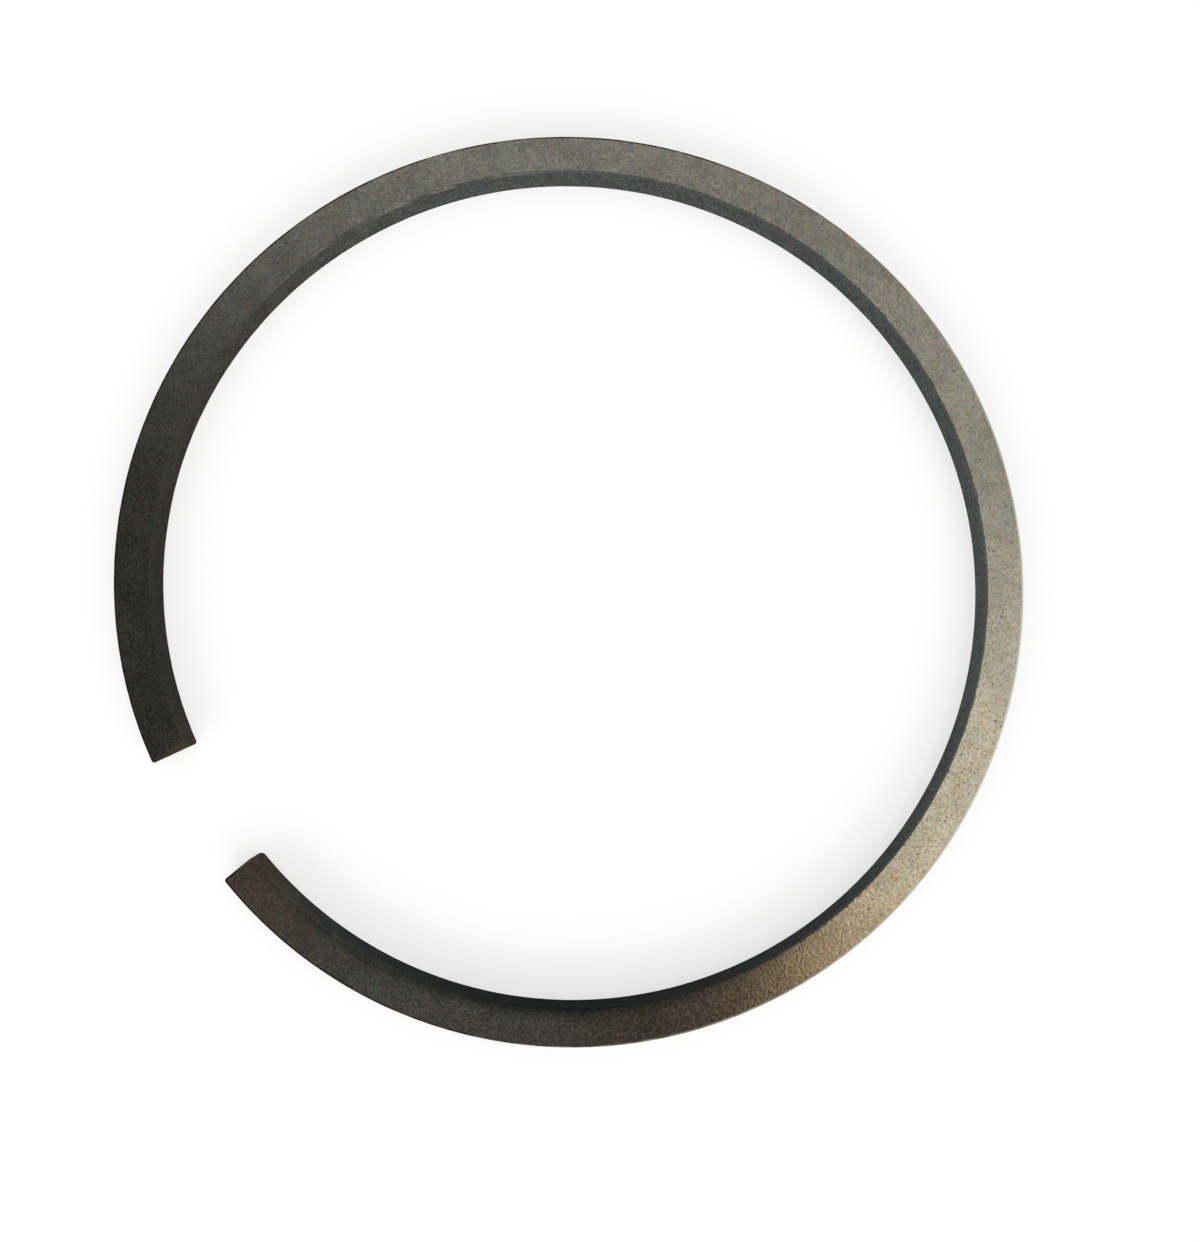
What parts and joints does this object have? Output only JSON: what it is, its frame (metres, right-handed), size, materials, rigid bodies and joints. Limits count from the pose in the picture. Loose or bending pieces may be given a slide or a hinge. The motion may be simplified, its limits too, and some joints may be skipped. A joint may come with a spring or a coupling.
{
  "type": "piston compression ring",
  "caption": "Open springy ring of plain rectangular section with a butt joint, which seals a piston in its cylinder, shown in its free state.",
  "frame": {"origin": "middle of the ring's footprint, on the plane of its lower side face", "axes": "+Z along the ring's axis, out of the upper side face; the back of the ring is at +Y and the open joint at -Y; X runs across the ring's widest part"},
  "size_m": [0.0802, 0.0788, 0.0032],
  "materials": {
    "ring_iron": "dark grey phosphate coat with a dull sheen, faint tan staining, fine pits and worn edges"
  },
  "bodies": {
    "root": {"compression_ring": "ring_iron"}
  },
  "joints": []
}
